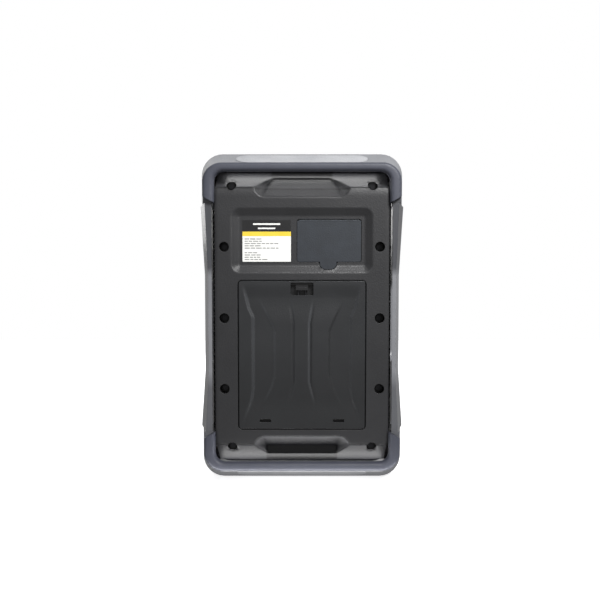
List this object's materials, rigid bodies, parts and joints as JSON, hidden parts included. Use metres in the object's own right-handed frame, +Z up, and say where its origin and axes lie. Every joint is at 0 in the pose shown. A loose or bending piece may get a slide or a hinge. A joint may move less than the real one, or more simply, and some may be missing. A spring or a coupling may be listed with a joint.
{
  "type": "rugged portable loudspeaker",
  "caption": "Upright battery loudspeaker body carried in a flared protective roll cage, with a rear battery door, latch, port flap, finger scoops and a front control panel.",
  "frame": {"origin": "centre of the bounding box on the flat base", "axes": "+X across the width, +Y to the rear with the battery door, +Z up"},
  "size_m": [0.277, 0.14, 0.443],
  "materials": {
    "cage_plastic": "light grey fine-textured moulded ABS",
    "rail_plastic": "mid grey fine-textured moulded ABS",
    "tube_rubber": "satin blue-grey overmoulded rubber",
    "pad_plastic": "pale grey textured inlay",
    "shell_plastic": "charcoal spark-textured ABS",
    "door_plastic": "charcoal spark-textured ABS",
    "latch_plastic": "charcoal moulded acetal",
    "port_rubber": "blue-black moulded rubber",
    "grille_steel": "black powder-coated perforated steel",
    "label_film": "printed polyester film",
    "soft_rubber": "black moulded rubber",
    "zinc_steel": "zinc-plated steel",
    "black_steel": "black e-coated steel",
    "ferrite": "ferrite ring and zinc-plated plate",
    "cone_paper": "coated black paper cone",
    "board_green": "solder-masked glass-epoxy board",
    "aluminium": "extruded aluminium",
    "nickel_contact": "nickel-plated spring steel",
    "cell_wrap": "printed battery sleeve",
    "socket_plastic": "black moulded nylon",
    "panel_plastic": "black satin moulded ABS",
    "window_acrylic": "smoked clear acrylic",
    "display_glass": "liquid-crystal display",
    "knob_plastic": "soft-touch knob",
    "button_grey": "grey keycap",
    "button_red": "red keycap"
  },
  "bodies": {
    "case": {"top_bumper": "cage_plastic", "bottom_bumper": "cage_plastic", "rear_top_tube": "tube_rubber", "rear_bottom_tube": "tube_rubber", "front_top_rim": "tube_rubber", "front_bottom_rim": "tube_rubber", "left_rail": "rail_plastic", "right_rail": "rail_plastic", "top_pad": "pad_plastic", "bottom_pad": "pad_plastic", "cage_screws": "black_steel", "isolators": "soft_rubber", "rear_shell": "shell_plastic", "front_shell": "shell_plastic", "shell_gasket": "soft_rubber", "case_screws": "black_steel", "label": "label_film", "speaker_grille": "grille_steel", "port_panel": "panel_plastic", "port_board": "board_green", "aux_socket": "socket_plastic", "usb_socket": "zinc_steel", "dc_socket": "socket_plastic", "door_seal": "soft_rubber", "battery_tray": "panel_plastic", "battery_cells": "cell_wrap", "battery_contacts": "nickel_contact", "main_board": "board_green", "heat_sink": "aluminium", "control_panel": "panel_plastic", "control_board": "board_green", "display": "display_glass", "display_window": "window_acrylic", "volume_encoder": "zinc_steel", "tuning_encoder": "zinc_steel", "driver_screws": "black_steel", "upper_basket": "black_steel", "upper_magnet": "ferrite", "upper_cone": "cone_paper", "upper_surround": "soft_rubber", "upper_dust_cap": "cone_paper", "lower_basket": "black_steel", "lower_magnet": "ferrite", "lower_cone": "cone_paper", "lower_surround": "soft_rubber", "lower_dust_cap": "cone_paper"},
    "battery_door": {"battery_door": "door_plastic", "latch_spring": "zinc_steel"},
    "battery_latch": {"battery_latch": "latch_plastic"},
    "port_door": {"port_door": "port_rubber"},
    "volume_knob": {"volume_knob": "knob_plastic"},
    "tuning_knob": {"tuning_knob": "knob_plastic"},
    "power_button": {"power_button": "button_red"},
    "mode_button": {"mode_button": "button_grey"},
    "previous_button": {"previous_button": "button_grey"},
    "play_button": {"play_button": "button_grey"},
    "next_button": {"next_button": "button_grey"}
  },
  "joints": [
    {"name": "battery_door_hinge", "type": "hinge", "parent": "case", "child": "battery_door", "pos_m": [0, 0.05825, 0.0769], "axis": [-1, 0, 0], "range_deg": [0, 75]},
    {"name": "battery_latch_slide", "type": "slide", "parent": "battery_door", "child": "battery_latch", "axis": [0, 0, -1], "range_m": [0, 0.003], "stiffness_N_per_m": 400, "springref_m": -0.003, "deforming": ["latch_spring"]},
    {"name": "port_door_hinge", "type": "hinge", "parent": "case", "child": "port_door", "pos_m": [-0.0356, 0.05425, 0.34915], "axis": [1, 0, 0], "range_deg": [0, 100], "stiffness_Nm_per_rad": 0.02},
    {"name": "volume_knob_turn", "type": "hinge", "parent": "case", "child": "volume_knob", "pos_m": [0.082, -0.054, 0.369], "axis": [0, -1, 0], "range_deg": [-140, 140]},
    {"name": "tuning_knob_turn", "type": "hinge", "parent": "case", "child": "tuning_knob", "pos_m": [-0.082, -0.054, 0.369], "axis": [0, -1, 0], "continuous": true},
    {"name": "power_button_press", "type": "slide", "parent": "case", "child": "power_button", "axis": [0, 1, 0], "range_m": [0, 0.0012], "stiffness_N_per_m": 600, "springref_m": -0.001},
    {"name": "mode_button_press", "type": "slide", "parent": "case", "child": "mode_button", "axis": [0, 1, 0], "range_m": [0, 0.0012], "stiffness_N_per_m": 600, "springref_m": -0.001},
    {"name": "previous_button_press", "type": "slide", "parent": "case", "child": "previous_button", "axis": [0, 1, 0], "range_m": [0, 0.0012], "stiffness_N_per_m": 600, "springref_m": -0.001},
    {"name": "play_button_press", "type": "slide", "parent": "case", "child": "play_button", "axis": [0, 1, 0], "range_m": [0, 0.0012], "stiffness_N_per_m": 600, "springref_m": -0.001},
    {"name": "next_button_press", "type": "slide", "parent": "case", "child": "next_button", "axis": [0, 1, 0], "range_m": [0, 0.0012], "stiffness_N_per_m": 600, "springref_m": -0.001}
  ]
}
